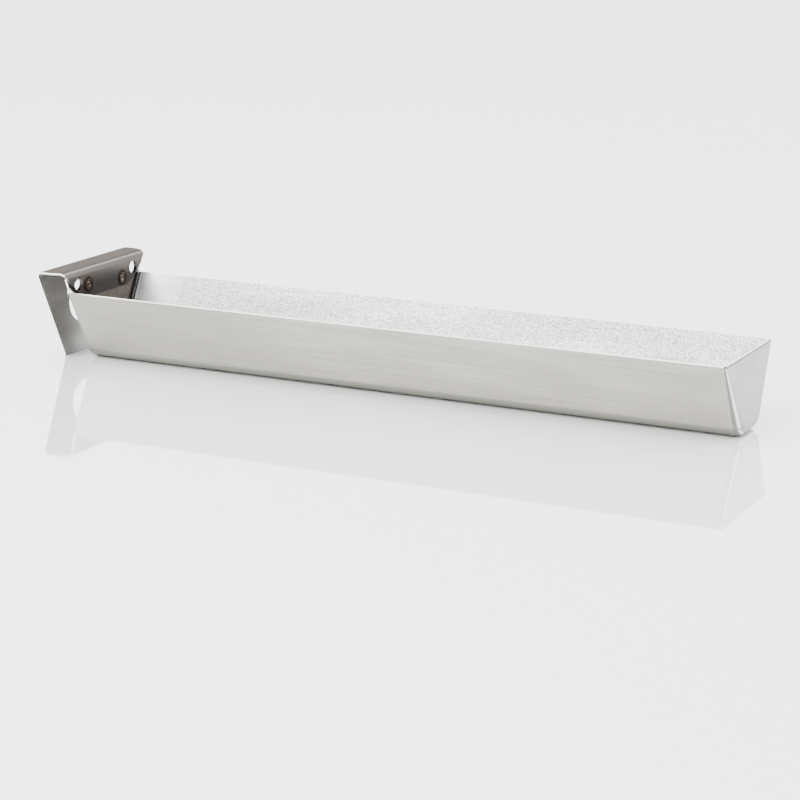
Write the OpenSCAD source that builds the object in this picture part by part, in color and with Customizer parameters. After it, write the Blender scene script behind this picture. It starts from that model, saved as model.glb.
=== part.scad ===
// Open stainless trough slide with a hook-on bracket at one end.
// Units mm. X runs along the trough, Y across it, Z up. The trough's flat floor stands on Z = 0.

/* [Trough] */
// Length of the rim, from the left end wall's mid-line to the right end wall
rim_length = 1000; // [600:10:1600]
// Outside width across the two rims
rim_width = 184; // [150:1:240]
// Height of the rim above the ground
rim_height = 107.4; // [90:0.1:150]
// Outward run of the side walls for every millimetre of rise
wall_slope = 0.529; // [0.3:0.001:0.6]
// Outside radius of the two bends between floor and walls
floor_bend_r = 28; // [16:0.5:32]
// Thickness of every sheet
sheet = 2.5; // [2:0.1:2.8]

/* [Right end] */
// How far the foot of the right end wall stands out beyond the rim
end_lean = 5.8; // [0:0.1:12]
// Outside radius of the upright corners at the rim
corner_r_top = 3.4; // [3.2:0.1:6]
// Outside radius of the corners and of the bottom edge at the floor
corner_r_low = 12.5; // [7:0.1:14]

/* [Hook bracket] */
// Height of the top of the flange
hook_top = 138; // [130:0.5:170]
// Clear width of the slot the bracket drops over
hook_gap = 40; // [20:1:60]
// Outside radius of the two top bends
hook_bend_r = 9.5; // [6:0.5:14]
// Half the width of the flange
flange_half = 109.3; // [104:0.1:125]
// Inward run of the outer leg's edges for every millimetre down
leg_slope = 0.469; // [0.1:0.001:0.5]
// Half the width left where the flange turns down into the inner leg
flange_in_half = 102; // [98:0.1:104]
// Distance from the inner leg at which the flange starts to narrow
flange_taper = 20; // [5:1:30]
// Radius of the outer leg's two lower corners
leg_corner_r = 4; // [1:0.5:10]
// Radius of the large round opening in the outer leg
window_r = 32; // [15:1:36]
// Height of the centre of that opening
window_z = 77; // [60:1:90]

/* [Inner leg] */
// Height of the inner leg's lower edge
inner_low = 94.2; // [90:0.1:100]
// Half the length of that lower edge
inner_low_half = 56; // [40:1:70]
// Height at which the slanting cut turns a little steeper
inner_knee_z = 105.2; // [100:0.1:110]
// Half width of the inner leg at that height
inner_knee_half = 73; // [65:0.5:80]
// Height at which the slanting cut reaches the side edge
inner_cut_z = 121; // [112:0.5:124]
// Half width of the inner leg at that height
inner_cut_half = 93.5; // [85:0.5:95]
// Half width of the inner leg just below the bend
inner_top_half = 97.5; // [95:0.5:98]
// Height up to which the end wall's upstand is as wide as the rim
neck_z = 114; // [110:0.5:118]
// Half width of the upstand at its top
upstand_half = 98; // [93:0.5:102]
// Distance between the two bolt holes
bolt_spacing = 142.6; // [120:0.2:160]
// Height of the bolt holes
bolt_z = 117.5; // [112:0.5:120]
// Diameter of the bolt holes
bolt_d = 19; // [10:0.5:22]
// Sideways distance of the front plug weld from the middle
plug_front_y = 46.5; // [35:0.5:55]
// Height of the front plug weld
plug_front_z = 112; // [106:0.5:114]
// Sideways distance of the back plug weld from the middle
plug_back_y = 41.5; // [35:0.5:55]
// Height of the back plug weld
plug_back_z = 106.5; // [106:0.5:114]
// Diameter of the plug welds
plug_d = 18; // [10:0.5:20]

/* [Welds] */
// Leg of the fillet welds in the left end's inner corners
fillet = 5.2; // [2:0.1:6]
// Size of the weld that joins the upstand's edge to the rim
rim_fillet = 6.5; // [3:0.5:9]
// How far a plug weld stands proud of the inner leg
plug_crown = 0.8; // [0.3:0.1:1.5]

/* [Hidden] */
$fn = 96;
rim_half = rim_width / 2;
wall_angle = atan(wall_slope);
wall_cos = cos(wall_angle);
wall_sin = sin(wall_angle);
bend_turn = 90 - wall_angle;
// Left end, measured from the trough's own end at x = 0
plate_out_x = -1;
plate_in_x = plate_out_x + sheet;
leg_in_x = plate_in_x + sheet;
slot_out_x = plate_out_x - hook_gap;
leg_out_x = slot_out_x - sheet;
// The drawing frame's middle, moved to the origin
centre_x = (rim_length + end_lean + leg_out_x) / 2;
// Floor bends
bend_y = rim_half - wall_slope * (rim_height - floor_bend_r) - floor_bend_r / wall_cos;
bend_top_z = floor_bend_r - floor_bend_r * wall_sin;
bend_in_r = floor_bend_r - sheet;
// Right end corners
foot_z = bend_top_z + corner_r_low * wall_sin;
corner_top = corner_centre(rim_height, corner_r_top);
corner_low = corner_centre(bend_top_z, corner_r_low);
corner_axis = corner_top - corner_low;
corner_len = norm(corner_axis);
corner_grow = (corner_r_low - corner_r_top) / corner_len;
// Hook bracket
upstand_top = hook_top - hook_bend_r - 0.5;
bracket_mid_x = (leg_out_x + leg_in_x) / 2;
leg_y = flange_half - leg_slope * (hook_top - sheet - leg_corner_r)
    - leg_corner_r / cos(atan(leg_slope));
// Margins used only to carry a cutting body past the faces it cuts
past = 60;
over = 2.5;

function wall_y(z) = rim_half - wall_slope * (rim_height - z);
function lean_x(z) = z < foot_z ? end_lean : end_lean * (rim_height - z) / (rim_height - foot_z);
function corner_centre(z, r) = let(cz = z + r * wall_sin)
    [rim_length + lean_x(cz) - r, wall_y(z) - r * wall_cos, cz];

// Puts geometry drawn from the trough's left end into the shared frame
module placed() {
    translate([-centre_x, 0, 0]) children();
}

// Stands a flat (y, z) outline up and gives it a thickness from x0 to x1
module across(x0, x1) {
    translate([x0, 0, 0]) rotate([90, 0, 90]) linear_extrude(x1 - x0) children();
}

// Stands a flat (x, z) outline up and gives it a thickness from y0 to y1
module along(y0, y1) {
    translate([0, y1, 0]) rotate([90, 0, 0]) linear_extrude(y1 - y0) children();
}

// Flat-bottomed outline with sloping sides and round lower corners of radius r about (yc, zc)
module tapered(yc, zc, r, slope, top_z) {
    a = atan(slope);
    side_y = yc + r * cos(a);
    side_z = zc - r * sin(a);
    top_y = side_y + (top_z - side_z) * slope;
    for (s = [-1, 1]) {
        translate([s * yc, zc]) circle(r);
    }
    polygon([[-yc, zc - r], [yc, zc - r], [side_y, side_z], [top_y, top_z],
        [-top_y, top_z], [-side_y, side_z]]);
}

module trough_outside(top_z) {
    tapered(bend_y, floor_bend_r, floor_bend_r, wall_slope, top_z);
}

module trough_inside(top_z) {
    tapered(bend_y, floor_bend_r, bend_in_r, wall_slope, top_z);
}

// Everything beyond the line where the right end's rounding starts
module beyond_seam() {
    top_x = corner_top[0];
    low_x = corner_low[0];
    over_x = top_x + (top_x - low_x) * past / (rim_height - bend_top_z);
    along(-2 * rim_half, 2 * rim_half)
        polygon([[low_x, -past], [rim_length + past, -past],
            [rim_length + past, rim_height + past], [over_x, rim_height + past],
            [low_x, bend_top_z]]);
}

// What is cut away so that the rims' edges are square to the sloping walls
module rim_trim() {
    edge_y = rim_half - sheet / wall_cos;
    across(plate_in_x + rim_fillet, rim_length + past)
        for (s = [0, 1]) mirror([s, 0])
            polygon([[edge_y, rim_height], [edge_y + 2 * sheet * wall_cos,
                rim_height - 2 * sheet * wall_sin], [edge_y + 2 * sheet, rim_height + sheet],
                [edge_y, rim_height + sheet]]);
}

module trough_channel() {
    color("silver") placed() difference() {
        across(plate_in_x, rim_length) difference() {
            trough_outside(rim_height);
            trough_inside(rim_height + past);
        }
        beyond_seam();
        rim_trim();
    }
}

// End wall seen along X: the trough's outline with a flared upstand on top
module left_end_outline() {
    trough_outside(rim_height);
    polygon([[-rim_half, rim_height - sheet], [rim_half, rim_height - sheet],
        [rim_half, neck_z], [upstand_half, upstand_top], [-upstand_half, upstand_top],
        [-rim_half, neck_z]]);
}

module left_end_plate() {
    color("gray") placed() difference() {
        across(plate_out_x, plate_in_x) left_end_outline();
        bolt_holes();
    }
}

// Flat part of the right end wall, inside its rounded edges
module end_face_outline() {
    low = [corner_low[1], corner_low[2]];
    top = [corner_top[1], corner_top[2]];
    inner_r = floor_bend_r - corner_r_low;
    for (s = [-1, 1]) {
        translate([s * bend_y, floor_bend_r]) circle(inner_r);
    }
    polygon([[-bend_y, corner_r_low], [bend_y, corner_r_low], low, top,
        [-top[0], top[1]], [-low[0], low[1]]]);
}

module right_end_plate() {
    color("silver") placed() intersection() {
        along(-rim_half, rim_half)
            polygon([[rim_length + end_lean, 0], [rim_length + end_lean, foot_z],
                [rim_length, rim_height], [rim_length - sheet, rim_height],
                [rim_length + end_lean - sheet, foot_z], [rim_length + end_lean - sheet, 0]]);
        across(rim_length - past, rim_length + past) end_face_outline();
    }
}

// Quarter ring in the (x, z) plane: the section of the rounded bottom edge, about (0, 0)
module edge_section(r) {
    intersection() {
        difference() {
            circle(r);
            circle(r - sheet);
        }
        translate([0, -2 * r]) square(2 * r);
    }
}

module right_floor_weld() {
    ring_r = floor_bend_r - corner_r_low;
    color("gainsboro") placed() translate([corner_low[0], 0, 0]) {
        along(-bend_y, bend_y) translate([0, corner_r_low]) edge_section(corner_r_low);
        for (s = [0, 1]) mirror([0, s, 0]) {
            translate([0, bend_y, floor_bend_r]) rotate([0, 90, 0])
                rotate_extrude(angle = bend_turn)
                    translate([ring_r, 0]) rotate(90) edge_section(corner_r_low);
        }
    }
}

// Solid cone inside the rounded upright corner, inset from its surface
module corner_cone(inset) {
    tilt = acos(corner_axis[2] / corner_len);
    turn = atan2(corner_axis[1], corner_axis[0]);
    translate(corner_low) rotate([0, tilt, turn]) translate([0, 0, -over])
        cylinder(h = corner_len + 2 * over, r1 = corner_r_low - inset + corner_grow * over,
            r2 = corner_r_top - inset - corner_grow * over);
}

// Rounded upright corner: a hollow cone that meets the side wall and the end wall
module right_corner_weld() {
    intersection() {
        difference() {
            corner_cone(0);
            corner_cone(sheet);
            across(rim_length - past, rim_length + past) end_face_outline();
            translate([rim_length - past, bend_y, floor_bend_r]) rotate([-wall_angle, 0, 0])
                translate([0, -2 * past, -2 * past]) cube([2 * past, 4 * past, 2 * past]);
            translate([rim_length - past, 0, rim_height]) cube([2 * past, 3 * past, past]);
            rim_trim();
        }
        beyond_seam();
    }
}

module right_back_corner_weld() {
    color("gainsboro") placed() right_corner_weld();
}

module right_front_corner_weld() {
    color("gainsboro") placed() mirror([0, 1, 0]) right_corner_weld();
}

// Round bar along X through (y, z), used to cut a hole between x0 and x1
module cross_bar(y, z, d, x0, x1) {
    translate([x0, y, z]) rotate([0, 90, 0]) cylinder(h = x1 - x0, d = d);
}

module bolt_holes() {
    for (s = [-1, 1]) {
        cross_bar(s * bolt_spacing / 2, bolt_z, bolt_d, plate_out_x - over, leg_in_x + over);
    }
}

module plug_holes() {
    cross_bar(-plug_front_y, plug_front_z, plug_d, plate_in_x - over, leg_in_x + over);
    cross_bar(plug_back_y, plug_back_z, plug_d, plate_in_x - over, leg_in_x + over);
}

// Arch outline in (x, z) with two round top corners
module arch(x0, x1, top, r) {
    for (x = [x0 + r, x1 - r]) {
        translate([x, top - r]) circle(r);
    }
    polygon([[x0, -past], [x1, -past], [x1, top - r], [x1 - r, top], [x0 + r, top],
        [x0, top - r]]);
}

// Outer leg and flange seen along X
module outer_leg_outline() {
    tapered(leg_y, leg_corner_r, leg_corner_r, leg_slope, hook_top - sheet);
    translate([-flange_half, hook_top - sheet]) square([2 * flange_half, 2 * sheet]);
}

// Inner leg and flange seen along X
module inner_leg_outline() {
    bend_z = hook_top - hook_bend_r;
    half = [[inner_low_half, inner_low], [inner_knee_half, inner_knee_z],
        [inner_cut_half, inner_cut_z], [inner_top_half, bend_z],
        [flange_in_half, hook_top - 2 * sheet], [flange_half, hook_top - sheet],
        [flange_half, hook_top + sheet]];
    polygon([for (s = [-1, 1]) for (i = [0:len(half) - 1])
        let(p = half[s < 0 ? len(half) - 1 - i : i]) [s * p[0], p[1]]]);
}

// Flange seen from above, narrower where it turns down into the inner leg
module flange_outline() {
    taper_x = leg_in_x - flange_taper;
    polygon([[leg_out_x, -flange_half], [taper_x, -flange_half], [leg_in_x, -flange_in_half],
        [leg_in_x, flange_in_half], [taper_x, flange_half], [leg_out_x, flange_half]]);
}

// One folded sheet: inner leg, flange, outer leg
module hook_bracket() {
    color("darkgray") placed() difference() {
        intersection() {
            along(-flange_half, flange_half) difference() {
                arch(leg_out_x, leg_in_x, hook_top, hook_bend_r);
                arch(slot_out_x, plate_in_x, hook_top - sheet, hook_bend_r - sheet);
            }
            union() {
                across(leg_out_x, bracket_mid_x) outer_leg_outline();
                across(bracket_mid_x, leg_in_x) inner_leg_outline();
            }
            linear_extrude(hook_top + past) flange_outline();
        }
        bolt_holes();
        plug_holes();
        cross_bar(0, window_z, 2 * window_r, leg_out_x - over, slot_out_x + over);
    }
}

// Weld metal filling a hole in the inner leg, with a low dome on top
module plug_weld(y, z) {
    dome_r = (plug_d * plug_d / 4 + plug_crown * plug_crown) / (2 * plug_crown);
    translate([plate_in_x, y, z]) rotate([0, 90, 0]) {
        cylinder(h = sheet, d = plug_d);
        intersection() {
            translate([0, 0, sheet + plug_crown - dome_r]) sphere(dome_r);
            translate([0, 0, sheet]) cylinder(h = 2 * plug_crown, d = plug_d);
        }
    }
}

module plug_weld_front() {
    color("peru") placed() plug_weld(-plug_front_y, plug_front_z);
}

module plug_weld_back() {
    color("peru") placed() plug_weld(plug_back_y, plug_back_z);
}

// Quarter disc in the quadrant x >= 0, y <= 0
module bead_section() {
    intersection() {
        circle(fillet);
        translate([0, -2 * fillet]) square(2 * fillet);
    }
}

// Bead up the inner corner between the side wall and the end wall, and the hollow fillet above it
module left_corner_weld() {
    start_y = bend_y + bend_in_r * wall_cos;
    start_z = floor_bend_r - bend_in_r * wall_sin;
    difference() {
        translate([plate_in_x, start_y, start_z]) rotate([-wall_angle, 0, 0])
            linear_extrude((rim_height - start_z) / wall_cos + fillet) bead_section();
        translate([plate_out_x, 0, rim_height]) cube([past, 3 * past, past]);
    }
    intersection() {
        along(0, 2 * rim_half) translate([plate_in_x, rim_height]) difference() {
            square(rim_fillet);
            translate([rim_fillet, rim_fillet]) circle(rim_fillet);
        }
        across(plate_in_x, plate_in_x + rim_fillet) difference() {
            trough_outside(rim_height + rim_fillet);
            tapered(bend_y, floor_bend_r, bend_in_r - over, wall_slope, rim_height + past);
        }
    }
}

module left_back_corner_weld() {
    color("dimgray") placed() left_corner_weld();
}

module left_front_corner_weld() {
    color("dimgray") placed() mirror([0, 1, 0]) left_corner_weld();
}

// Bead along the floor and round both bends at the foot of the left end wall
module left_floor_weld() {
    color("dimgray") placed() translate([plate_in_x, 0, 0]) {
        along(-bend_y, bend_y) translate([0, sheet]) mirror([0, 1]) bead_section();
        for (s = [0, 1]) mirror([0, s, 0]) {
            translate([0, bend_y, floor_bend_r]) rotate([0, 90, 0])
                rotate_extrude(angle = bend_turn)
                    translate([bend_in_r, 0]) rotate(180) bead_section();
        }
    }
}

trough_channel();
left_end_plate();
right_end_plate();
hook_bracket();
plug_weld_front();
plug_weld_back();
left_front_corner_weld();
left_back_corner_weld();
left_floor_weld();
right_front_corner_weld();
right_back_corner_weld();
right_floor_weld();
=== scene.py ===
"""Looks for the stainless trough slide: materials, weld beads, floor, light and camera."""

import math

import bpy
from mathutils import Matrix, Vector


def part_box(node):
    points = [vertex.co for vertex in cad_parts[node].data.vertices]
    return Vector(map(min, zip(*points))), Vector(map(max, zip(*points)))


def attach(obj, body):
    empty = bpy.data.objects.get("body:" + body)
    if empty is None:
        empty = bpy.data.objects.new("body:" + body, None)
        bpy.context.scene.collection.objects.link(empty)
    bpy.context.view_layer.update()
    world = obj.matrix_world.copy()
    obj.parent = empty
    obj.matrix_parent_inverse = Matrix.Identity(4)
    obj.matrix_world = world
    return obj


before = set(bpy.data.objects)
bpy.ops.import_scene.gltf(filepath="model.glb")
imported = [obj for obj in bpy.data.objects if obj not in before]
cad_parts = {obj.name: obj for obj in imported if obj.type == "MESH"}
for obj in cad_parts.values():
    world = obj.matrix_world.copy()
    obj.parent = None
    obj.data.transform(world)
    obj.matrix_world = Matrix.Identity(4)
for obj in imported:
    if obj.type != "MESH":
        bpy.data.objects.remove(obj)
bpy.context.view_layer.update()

# ---------- driving values ----------
# Camera: metres, degrees below level and round Z, then lens and sensor in millimetres
CAMERA_PLACE = (1.440, -2.788, 0.795)
CAMERA_DOWN = 14.51
CAMERA_TURN = 27.13
CAMERA_LENS = 103.9
SENSOR = 36.0

# Light and floor: metres and watts
WORLD_LIGHT = 3.8
KEY_PLACE = (-1.5, -2.5, 3.5)
KEY_SIZE = (3, 3)
KEY_POWER = 350
FLOOR_SIZE = 60
FLOOR_DROP = 0.0002
FLOOR_COLOUR = (0.93, 0.935, 0.945)
FLOOR_MIRROR = 0.35
FLOOR_ROUGHNESS = 0.04

# Levels and faces read from the frame, metres

LEFT_FACE_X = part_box("left_end_plate")[1][0]
RIM_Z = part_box("trough_channel")[1][2]
FLANGE_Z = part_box("hook_bracket")[1][2]
RIM_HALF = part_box("trough_channel")[1][1]


def disc_centre(name):
    low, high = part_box(name)
    return (low[1] + high[1]) / 2, (low[2] + high[2]) / 2


PLUGS = [disc_centre(name) for name in ("plug_weld_front", "plug_weld_back")]
PLUG_R = (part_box("plug_weld_back")[1][1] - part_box("plug_weld_back")[0][1]) / 2
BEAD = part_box("left_floor_weld")[1][0] - LEFT_FACE_X
SHEET = LEFT_FACE_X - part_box("left_end_plate")[0][0]

# The folded trough's section: the slope and bend radius are the part's own, the rest follows
WALL_SLOPE = 0.529
BEND_R = 0.028
BEND_IN_R = BEND_R - SHEET
WALL_ANGLE = math.atan(WALL_SLOPE)
BEND_Y = RIM_HALF - WALL_SLOPE * (RIM_Z - BEND_R) - BEND_R / math.cos(WALL_ANGLE)

# Weld detail: spacing and depth of the bead's ripples, how far their crowns trail at the edges
RIPPLE_PITCH = 0.0032
RIPPLE_STEP = 0.0008
RIPPLE_DEPTH = 0.09
RIPPLE_TURNS = 8
RIPPLE_LAG = 0.35
# The raised ring on a plug weld: its radius as a share of the weld's, thickness and height
RING_SHARE = 0.78
RING_THICK = 0.0011
RING_RISE = 0.0002
RING_STEPS = 48
RING_SIDES = 12


# ---------- camera, light and floor ----------
def add_camera():
    data = bpy.data.cameras.new("camera")
    data.lens = CAMERA_LENS
    data.sensor_width = SENSOR
    camera = bpy.data.objects.new("camera", data)
    camera.location = CAMERA_PLACE
    camera.rotation_euler = (math.radians(90 - CAMERA_DOWN), 0, math.radians(CAMERA_TURN))
    bpy.context.scene.collection.objects.link(camera)
    bpy.context.scene.camera = camera


def add_area(name, place, target, size, power):
    data = bpy.data.lights.new(name, "AREA")
    data.shape = "RECTANGLE"
    data.size, data.size_y = size
    data.energy = power
    lamp = bpy.data.objects.new(name, data)
    lamp.location = place
    lamp.rotation_euler = (Vector(target) - Vector(place)).to_track_quat("-Z", "Y").to_euler()
    bpy.context.scene.collection.objects.link(lamp)


def add_world(strength):
    world = bpy.data.worlds.new("studio")
    world.use_nodes = True
    background = world.node_tree.nodes["Background"]
    background.inputs["Color"].default_value = (1.0, 1.0, 1.0, 1.0)
    background.inputs["Strength"].default_value = strength
    bpy.context.scene.world = world


def new_material(name):
    material = bpy.data.materials.new(name)
    material.use_nodes = True
    tree = material.node_tree
    return material, tree, tree.nodes["Principled BSDF"]


def add_floor():
    bpy.ops.mesh.primitive_plane_add(size=FLOOR_SIZE, location=(0, 0, -FLOOR_DROP))
    floor = bpy.context.object
    floor.name = "studio_floor"
    material, _, shader = new_material("pale_floor")
    shader.inputs["Base Color"].default_value = (*FLOOR_COLOUR, 1)
    shader.inputs["Metallic"].default_value = FLOOR_MIRROR
    shader.inputs["Roughness"].default_value = FLOOR_ROUGHNESS
    floor.data.materials.append(material)


# ---------- shader helpers ----------
def node(tree, kind, **inputs):
    made = tree.nodes.new(kind)
    for key, value in inputs.items():
        made.inputs[key].default_value = value
    return made


def math_node(tree, operation, first, second=None):
    made = tree.nodes.new("ShaderNodeMath")
    made.operation = operation
    for socket, value in zip(made.inputs, (first, second)):
        if isinstance(value, bpy.types.NodeSocket):
            tree.links.new(value, socket)
        elif value is not None:
            socket.default_value = value
    return made.outputs[0]


def remap(tree, value, low, high, to_low, to_high):
    made = tree.nodes.new("ShaderNodeMapRange")
    made.interpolation_type = "SMOOTHSTEP"
    tree.links.new(value, made.inputs["Value"])
    made.inputs["From Min"].default_value = low
    made.inputs["From Max"].default_value = high
    made.inputs["To Min"].default_value = to_low
    made.inputs["To Max"].default_value = to_high
    return made.outputs["Result"]


def rise(tree, value, low, high):
    """Mask that goes from 0 at `low` to 1 at `high`."""
    return remap(tree, value, low, high, 0.0, 1.0)


def fall(tree, value, low, high):
    """Mask that goes from 1 at `low` to 0 at `high`."""
    return remap(tree, value, low, high, 1.0, 0.0)


def both(tree, first, second):
    """Where two masks overlap; also the plain product of two values."""
    return math_node(tree, "MULTIPLY", first, second)


def outside(tree, mask):
    return math_node(tree, "SUBTRACT", 1.0, mask)


def absolute(tree, value):
    return math_node(tree, "ABSOLUTE", value)


def distance(tree, value, centre):
    return absolute(tree, math_node(tree, "SUBTRACT", value, centre))


def spread(tree, noise, low=0.0, high=1.0):
    """Stretches noise's usual span, 0.3 to 0.7, to run from `low` to `high`."""
    return remap(tree, noise, 0.3, 0.7, low, high)


def mix(tree, factor, first, second):
    made = tree.nodes.new("ShaderNodeMix")
    made.data_type = "RGBA"
    tree.links.new(factor, made.inputs["Factor"])
    for socket, value in zip((made.inputs[6], made.inputs[7]), (first, second)):
        if isinstance(value, bpy.types.NodeSocket):
            tree.links.new(value, socket)
        else:
            socket.default_value = (*value, 1)
    return made.outputs[2]


def multiply(tree, first, second):
    made = tree.nodes.new("ShaderNodeMix")
    made.data_type = "RGBA"
    made.blend_type = "MULTIPLY"
    made.inputs["Factor"].default_value = 1.0
    tree.links.new(first, made.inputs[6])
    tree.links.new(second, made.inputs[7])
    return made.outputs[2]


def stretched_noise(tree, stretch, detail=3.0):
    """Noise over the object's own coordinates, with its own scale along each axis."""
    place = tree.nodes.new("ShaderNodeTexCoord")
    mapping = tree.nodes.new("ShaderNodeMapping")
    mapping.inputs["Scale"].default_value = stretch
    tree.links.new(place.outputs["Object"], mapping.inputs["Vector"])
    noise = node(tree, "ShaderNodeTexNoise", Scale=1.0, Detail=detail)
    tree.links.new(mapping.outputs["Vector"], noise.inputs["Vector"])
    return noise.outputs["Fac"]


def bump(tree, shader, height, distance, strength):
    made = node(tree, "ShaderNodeBump", Strength=strength, Distance=distance)
    tree.links.new(height, made.inputs["Height"])
    tree.links.new(made.outputs["Normal"], shader.inputs["Normal"])


def position(tree):
    place = tree.nodes.new("ShaderNodeTexCoord")
    split = tree.nodes.new("ShaderNodeSeparateXYZ")
    tree.links.new(place.outputs["Object"], split.inputs[0])
    return split.outputs


def facing(tree):
    geometry = tree.nodes.new("ShaderNodeNewGeometry")
    split = tree.nodes.new("ShaderNodeSeparateXYZ")
    tree.links.new(geometry.outputs["Normal"], split.inputs[0])
    return split.outputs


def finish(tree, shader, colour, metallic, roughness):
    tree.links.new(colour, shader.inputs["Base Color"])
    shader.inputs["Metallic"].default_value = metallic
    if isinstance(roughness, bpy.types.NodeSocket):
        tree.links.new(roughness, shader.inputs["Roughness"])
    else:
        shader.inputs["Roughness"].default_value = roughness


# ---------- materials ----------
# Base colours, linear
BRUSHED = (0.240, 0.234, 0.208)
SPECKLED = (0.292, 0.292, 0.289)
END_PLATE = (0.345, 0.345, 0.347)
# Near-white painted highlight: on the rim, as a line along the left bead, on the polished cut edges
# and on the fillet above the rim
HIGHLIGHT_WHITE = (0.93, 0.93, 0.92)
# The bracket is one satin finish painted lit and shaded: the outer leg painted lit, the flange
# painted shaded
LIT_LEG_SATIN = (0.35, 0.345, 0.34)
SHADED_FLANGE_SATIN = (0.105, 0.096, 0.090)
# Painted highlight along the bracket's bend
BEND_HIGHLIGHT = (0.24, 0.23, 0.225)
# Painted shade on the inner leg, lighter high and darker low; the lighter one also darkens the right
# welds' pits and paints a shadow at their top ends, the darker one is painted shade on the left end
# wall's upstand cut faces and hole walls
SHADE_AND_PIT_DARK = (0.110, 0.101, 0.094)
DEEP_SHADE = (0.055, 0.053, 0.052)
HEAT_TINT = (0.022, 0.012, 0.007)
END_WALL_DARK = (0.069, 0.058, 0.050)
END_WALL_LIGHT = (0.098, 0.085, 0.074)
PLUG_MIDDLE = (0.20, 0.18, 0.16)
BRACKET_GLANCE = (0.42, 0.40, 0.39)
WELD_DARK = (0.010, 0.010, 0.011)
# Painted highlight on the bead's crest
WELD_HIGHLIGHT = (0.060, 0.058, 0.058)
GROUND = (0.345, 0.342, 0.335)
# Painted shade and painted highlight across the ground rounding of the right corners
GROUND_SHADE = (0.185, 0.178, 0.165)
GROUND_HIGHLIGHT = (0.80, 0.80, 0.79)

# Noise cells per metre along X, Y and Z
BRUSH_STREAKS = (5, 420, 420)
TROUGH_CLOUDS = (6, 30, 30)
SPECKLE = (470, 470, 470)
PLATE_CLOUDS = (40, 40, 40)
PLATE_GRAIN = (300, 300, 300)
BRACKET_STREAKS = (60, 12, 60)
END_WALL_CLOUDS = (45, 45, 45)
BEAD_GRAIN = (260, 260, 260)
PLUG_GRAIN = (230, 230, 230)
GROUND_GRAIN = (200, 200, 200)

# Where one look gives way to the next, metres
# Painted rim highlight band
RIM_HIGHLIGHT_BAND = (RIM_Z - 0.0017, RIM_Z - 0.0013)
# Painted shadow line under the rim
RIM_SHADOW_LINE = (RIM_Z - 0.0032, RIM_Z - 0.0022)
ABOVE_RIM = (RIM_Z - 0.0004, RIM_Z + 0.0002)
# Painted highlight line along the left bead, and painted light on the inner faces near the left end
BEAD_HIGHLIGHT_X = LEFT_FACE_X + BEAD + 0.0015
BEAD_HIGHLIGHT_BAND = (0.0008, 0.002)
PAINTED_LIGHT_X = (LEFT_FACE_X, LEFT_FACE_X + 0.11)
INNER_LEG_X = LEFT_FACE_X - 0.001
BEND_X = LEFT_FACE_X - 0.008
FLANGE_BAND = (FLANGE_Z - 0.006, FLANGE_Z - 0.001)
INNER_LEG_TOP = (FLANGE_Z - 0.011, FLANGE_Z - 0.009)
HEAT_WIDTH = 0.005
UPSTAND_EDGE = (RIM_HALF - 0.01, RIM_HALF - 0.009)
UPSTAND_LOW = (RIM_Z - 0.002, RIM_Z)
PIT_BAND = (0.016, 0.026)
# Painted shadow at the top of the right corner welds
TIP_SHADOW_BAND = (RIM_Z - 0.0035, RIM_Z - 0.0015)


def scaled(colour, factor):
    return tuple(factor * c for c in colour)


def with_rim_highlight(tree, colour, place):
    """Cut edges and upward-facing faces along the rim get a painted highlight, lighter than the
    faces.
    """
    level = rise(tree, facing(tree)["Z"], 0.6, 0.75)
    return mix(tree, both(tree, rise(tree, place["Z"], *RIM_HIGHLIGHT_BAND), level), colour, HIGHLIGHT_WHITE)


def trough_steel():
    """Outside brushed along the trough, inside finely speckled; inside painted lighter and plainer
    near the left end to offset the bracket's shade, with a painted highlight line along the bead.
    """
    material, tree, shader = new_material("trough_steel")
    place = position(tree)
    streaks = stretched_noise(tree, BRUSH_STREAKS, 4.0)
    outer = mix(tree, spread(tree, streaks), scaled(BRUSHED, 0.92), scaled(BRUSHED, 1.07))
    speckle = rise(tree, stretched_noise(tree, SPECKLE, 2.0), 0.4, 0.6)
    speckled = mix(tree, speckle, scaled(SPECKLED, 0.62), scaled(SPECKLED, 1.34))
    # Painted light on the inner faces near the left end, offsetting the shade the bracket casts
    # there
    painted_light_near_left = remap(tree, place["X"], *PAINTED_LIGHT_X, 0.8, 0.0)
    inner = mix(tree, painted_light_near_left, speckled, scaled(SPECKLED, 2.1))
    # Painted highlight line along the left bead
    by_bead = fall(tree, distance(tree, place["X"], BEAD_HIGHLIGHT_X), *BEAD_HIGHLIGHT_BAND)
    with_bead_highlight = mix(tree, by_bead, inner, HIGHLIGHT_WHITE)
    faces = mix(tree, rise(tree, facing(tree)["Z"], -0.1, 0.1), outer, with_bead_highlight)
    roughness = spread(tree, stretched_noise(tree, TROUGH_CLOUDS, 2.0), 0.34, 0.44)
    finish(tree, shader, with_rim_highlight(tree, faces, place), 1.0, roughness)
    bump(tree, shader, streaks, 0.0004, 0.12)
    return material


def end_plate_steel():
    """Plain satin sheet with faint, broad variation and a painted shadow line under the rim."""
    material, tree, shader = new_material("end_plate_steel")
    place = position(tree)
    clouds = spread(tree, stretched_noise(tree, PLATE_CLOUDS, 3.0))
    faces = mix(tree, clouds, scaled(END_PLATE, 0.95), scaled(END_PLATE, 1.05))
    # Painted shadow line just under the rim on the outer face
    shadow_line = both(tree, rise(tree, place["Z"], *RIM_SHADOW_LINE), rise(tree, facing(tree)["X"], 0.6, 0.8))
    with_shadow_line = mix(tree, shadow_line, faces, scaled(END_PLATE, 0.35))
    grain = stretched_noise(tree, PLATE_GRAIN, 2.0)
    finish(tree, shader, with_rim_highlight(tree, with_shadow_line, place), 1.0, spread(tree, grain, 0.32, 0.40))
    bump(tree, shader, grain, 0.0003, 0.08)
    return material


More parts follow.
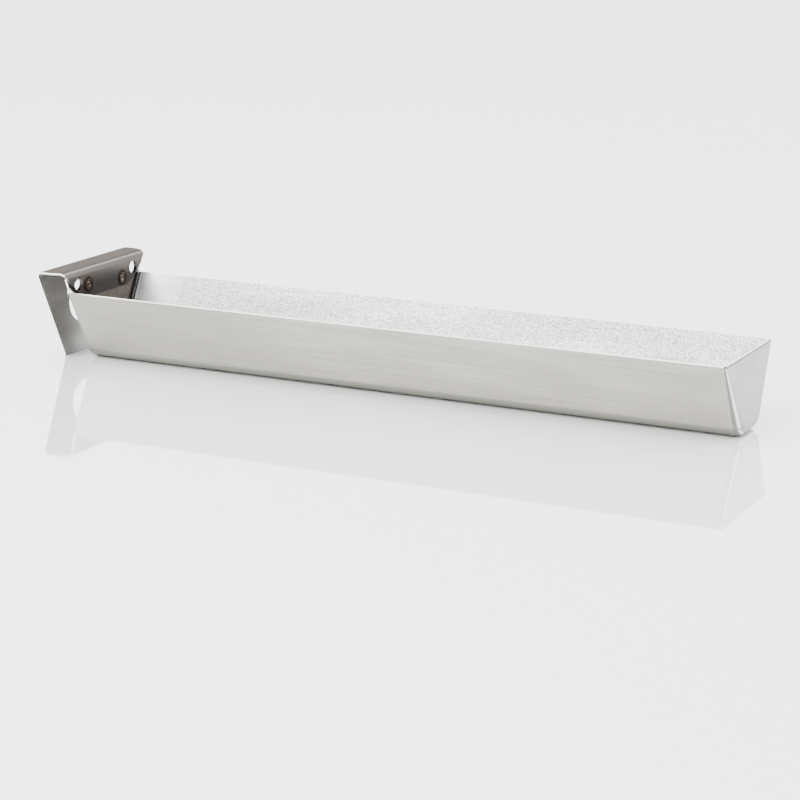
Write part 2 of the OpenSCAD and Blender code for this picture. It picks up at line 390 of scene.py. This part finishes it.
def halo(tree, place, radius, width):
    """1 near either plug weld's middle, out to `radius`, falling to 0 at `width` beyond it."""
    reach = None
    for centre_y, centre_z in PLUGS:
        across = math_node(tree, "SUBTRACT", place["Y"], centre_y)
        up = math_node(tree, "SUBTRACT", place["Z"], centre_z)
        squares = math_node(tree, "ADD", both(tree, across, across), both(tree, up, up))
        away = math_node(tree, "SQRT", squares)
        reach = away if reach is None else math_node(tree, "MINIMUM", reach, away)
    return fall(tree, reach, radius, radius + width)


def bracket_steel():
    """Satin sheet painted lit and shaded: pale outer leg, darker flange, inner leg in painted shade
    that darkens downwards with heat marks round the plug welds, a painted highlight on the bend and
    on the cut edges.
    """
    material, tree, shader = new_material("bracket_steel")
    place, normal = position(tree), facing(tree)
    # Painted light and shade on one finish: outer leg lit, flange shaded, inner leg in deeper
    # painted shade darkening towards the bottom
    leg = mix(tree, rise(tree, place["Z"], *FLANGE_BAND), LIT_LEG_SATIN, SHADED_FLANGE_SATIN)
    up_inner = rise(tree, place["Z"], RIM_Z, FLANGE_BAND[0])
    inner = mix(tree, up_inner, DEEP_SHADE, SHADE_AND_PIT_DARK)
    on_inner = rise(tree, place["X"], BEND_X, INNER_LEG_X)
    past_bend = rise(tree, place["X"], BEND_X, BEND_X + 0.002)
    # Painted highlight along the bend
    bend_highlight_mask = both(tree, fall(tree, distance(tree, normal["X"], 0.62), 0.05, 0.22), past_bend)
    bare = mix(tree, bend_highlight_mask, mix(tree, on_inner, leg, inner), BEND_HIGHLIGHT)
    heated = both(tree, halo(tree, place, PLUG_R, HEAT_WIDTH), on_inner)
    faces = mix(tree, heated, bare, HEAT_TINT)
    inner_leg = both(tree, rise(tree, place["X"], BEND_X, BEND_X + 0.001),
                     fall(tree, place["Z"], *INNER_LEG_TOP))
    # Painted highlight on the cut edges facing along the trough, outside the inner leg
    sideways = rise(tree, absolute(tree, normal["Y"]), 0.6, 0.8)
    with_edge_highlight = mix(tree, both(tree, sideways, outside(tree, inner_leg)), faces, HIGHLIGHT_WHITE)
    streaks = stretched_noise(tree, BRACKET_STREAKS, 4.0)
    shades = mix(tree, spread(tree, streaks), scaled((1, 1, 1), 0.88), (1, 1, 1))
    finish(tree, shader, multiply(tree, with_edge_highlight, shades), 1.0, 0.36)
    shader.inputs["Specular Tint"].default_value = (*BRACKET_GLANCE, 1)
    bump(tree, shader, streaks, 0.0003, 0.08)
    return material


def end_wall_steel():
    """Left end wall: brown-grey inside, brushed outside, a painted highlight on the upstand's side
    edges, painted shade on its other cut faces and in its holes.
    """
    material, tree, shader = new_material("end_wall_steel")
    normal, place = facing(tree), position(tree)
    clouds = stretched_noise(tree, END_WALL_CLOUDS, 4.0)
    inside = mix(tree, rise(tree, clouds, 0.35, 0.65), END_WALL_DARK, END_WALL_LIGHT)
    at_side = rise(tree, absolute(tree, place["Y"]), *UPSTAND_EDGE)
    high = rise(tree, place["Z"], *UPSTAND_LOW)
    # Painted highlight on the upstand's side edges; other cut edges a darker grey
    edge = mix(tree, both(tree, at_side, high), scaled(BRUSHED, 0.8), HIGHLIGHT_WHITE)
    # Painted shade on the upstand's other cut faces and hole walls, behind the inner leg
    thickness = mix(tree, both(tree, outside(tree, at_side), high), edge, DEEP_SHADE)
    back = mix(tree, rise(tree, normal["X"], -0.6, -0.3), BRUSHED, thickness)
    colour = mix(tree, fall(tree, normal["X"], 0.3, 0.6), inside, back)
    finish(tree, shader, colour, 1.0, 0.4)
    bump(tree, shader, clouds, 0.0004, 0.1)
    return material


def weld_metal():
    """Dark bead with a painted highlight along its crest; the smoothed fillet above the rim is bare
    metal painted near-white as a highlight.
    """
    material, tree, shader = new_material("weld_metal")
    grain = stretched_noise(tree, BEAD_GRAIN, 4.0)
    # Painted highlight along the bead's crest
    crest = fall(tree, distance(tree, facing(tree)["X"], 0.7), 0.05, 0.22)
    lit = both(tree, crest, remap(tree, grain, 0.35, 0.6, 0.3, 1.0))
    bead = mix(tree, lit, WELD_DARK, WELD_HIGHLIGHT)
    # Painted highlight on the fillet above the rim
    above = rise(tree, position(tree)["Z"], *ABOVE_RIM)
    finish(tree, shader, mix(tree, above, bead, HIGHLIGHT_WHITE), 0.9, 0.42)
    bump(tree, shader, grain, 0.0005, 0.25)
    return material


def plug_weld_metal():
    """Dark brown rim round a rough grey middle."""
    material, tree, shader = new_material("plug_weld_metal")
    grain = stretched_noise(tree, PLUG_GRAIN, 3.0)
    middle = halo(tree, position(tree), 0.35 * PLUG_R, 0.35 * PLUG_R)
    patch = both(tree, middle, rise(tree, grain, 0.45, 0.6))
    finish(tree, shader, mix(tree, patch, HEAT_TINT, PLUG_MIDDLE), 0.9, 0.4)
    bump(tree, shader, grain, 0.0006, 0.3)
    return material


def ground_weld():
    """Ground corner, shaded by how its surface turns: painted shade where it leaves the side wall,
    then a painted highlight along the ridge, pitted low down, and a painted shadow at the top.
    """
    material, tree, shader = new_material("ground_weld_steel")
    place, turn = position(tree), facing(tree)["X"]
    grain = stretched_noise(tree, GROUND_GRAIN, 3.0)
    # Painted shade and highlight set by the way the surface turns
    turn_shade = mix(tree, rise(tree, turn, 0.02, 0.15), GROUND, GROUND_SHADE)
    ridge_highlight = mix(tree, rise(tree, turn, 0.56, 0.72), turn_shade, GROUND_HIGHLIGHT)
    plain = mix(tree, rise(tree, turn, 0.82, 0.93), ridge_highlight, END_PLATE)
    shades = mix(tree, spread(tree, grain), scaled((1, 1, 1), 0.9), (1, 1, 1))
    low_ridge = both(tree, fall(tree, place["Z"], *PIT_BAND), rise(tree, turn, 0.55, 0.65))
    pits = both(tree, rise(tree, grain, 0.53, 0.57), low_ridge)
    pitted = mix(tree, pits, multiply(tree, plain, shades), SHADE_AND_PIT_DARK)
    # Painted shadow at the top, under the rim corner
    tip_shadow = rise(tree, place["Z"], *TIP_SHADOW_BAND)
    finish(tree, shader, mix(tree, tip_shadow, pitted, SHADE_AND_PIT_DARK), 1.0, 0.33)
    bump(tree, shader, grain, 0.0004, 0.1)
    return material


# ---------- weld detail ----------
def corner_path(step):
    """Points (y, z) and inward directions down, across and up the left end's inner corner."""
    cos_a, sin_a = math.cos(WALL_ANGLE), math.sin(WALL_ANGLE)
    start = (BEND_Y + BEND_IN_R * cos_a, BEND_R - BEND_IN_R * sin_a)
    wall = (RIM_Z - start[1]) / cos_a - RIPPLE_PITCH
    turn = math.pi / 2 - WALL_ANGLE
    arc = BEND_IN_R * turn
    count = round((wall + arc + BEND_Y) / step)
    half = []
    for i in range(count + 1):
        along = i * (wall + arc + BEND_Y) / count
        if along < wall:
            up = wall - along
            half.append((start[0] + up * sin_a, start[1] + up * cos_a, -cos_a, sin_a))
        elif along < wall + arc:
            angle = WALL_ANGLE + (along - wall) / BEND_IN_R
            reach = (math.cos(angle), -math.sin(angle))
            half.append((BEND_Y + BEND_IN_R * reach[0], BEND_R + BEND_IN_R * reach[1],
                         -reach[0], -reach[1]))
        else:
            half.append((wall + arc + BEND_Y - along, SHEET, 0.0, 1.0))
    return half + [(-y, z, -across, up) for y, z, across, up in reversed(half[:-1])]


def bead_ripples():
    """The rippled surface of the bead round the left end's inner corner, as one closed mesh."""
    path = corner_path(RIPPLE_STEP)
    points, faces = [], []
    ring = RIPPLE_TURNS + 2
    for i, (y, z, in_y, in_z) in enumerate(path):
        points.append((LEFT_FACE_X, y, z))
        for j in range(RIPPLE_TURNS + 1):
            angle = math.pi / 2 * j / RIPPLE_TURNS
            lag = RIPPLE_LAG * math.sin(2 * angle)
            phase = 2 * math.pi * (i * RIPPLE_STEP / RIPPLE_PITCH + lag)
            radius = BEAD * (1.0 + RIPPLE_DEPTH * math.sin(phase) * math.sin(2 * angle))
            out, inward = radius * math.cos(angle), radius * math.sin(angle)
            points.append((LEFT_FACE_X + out, y + inward * in_y, z + inward * in_z))
    for i in range(len(path) - 1):
        for j in range(ring):
            a, b = i * ring + j, i * ring + (j + 1) % ring
            faces.append((a, b, b + ring, a + ring))
    faces.append(tuple(reversed(range(ring))))
    faces.append(tuple(range((len(path) - 1) * ring, len(path) * ring)))
    mesh = bpy.data.meshes.new("left_bead_ripples")
    mesh.from_pydata(points, [], faces)
    mesh.update()
    piece = bpy.data.objects.new("left_bead_ripples", mesh)
    bpy.context.scene.collection.objects.link(piece)
    return piece


def plug_ring(name, centre):
    """The raised ring of weld metal on a plug weld."""
    bpy.ops.mesh.primitive_torus_add(
        location=(LEFT_FACE_X + SHEET + RING_RISE, *centre), rotation=(0, math.pi / 2, 0),
        major_radius=RING_SHARE * PLUG_R, minor_radius=RING_THICK,
        major_segments=RING_STEPS, minor_segments=RING_SIDES)
    piece = bpy.context.object
    piece.name = name
    piece.data.polygons.foreach_set("use_smooth", [True] * len(piece.data.polygons))
    return piece


def add_detail(piece, material):
    piece.data.materials.append(material)
    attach(piece, "root")


# ---------- put together ----------
def clothe(name, material):
    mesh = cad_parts[name].data
    mesh.materials.clear()
    mesh.materials.append(material)


def dress():
    clothe("trough_channel", trough_steel())
    clothe("left_end_plate", end_wall_steel())
    clothe("right_end_plate", end_plate_steel())
    clothe("hook_bracket", bracket_steel())
    ground = ground_weld()
    for name in ("right_front_corner_weld", "right_back_corner_weld", "right_floor_weld"):
        clothe(name, ground)
    bead = weld_metal()
    for name in ("left_front_corner_weld", "left_back_corner_weld", "left_floor_weld"):
        clothe(name, bead)
    plug = plug_weld_metal()
    for name, centre in zip(("plug_weld_front", "plug_weld_back"), PLUGS):
        clothe(name, plug)
        add_detail(plug_ring(name + "_ring", centre), plug)
    add_detail(bead_ripples(), bead)


add_camera()
add_world(WORLD_LIGHT)
add_area("key", KEY_PLACE, (0, 0, 0), KEY_SIZE, KEY_POWER)
add_floor()
dress()
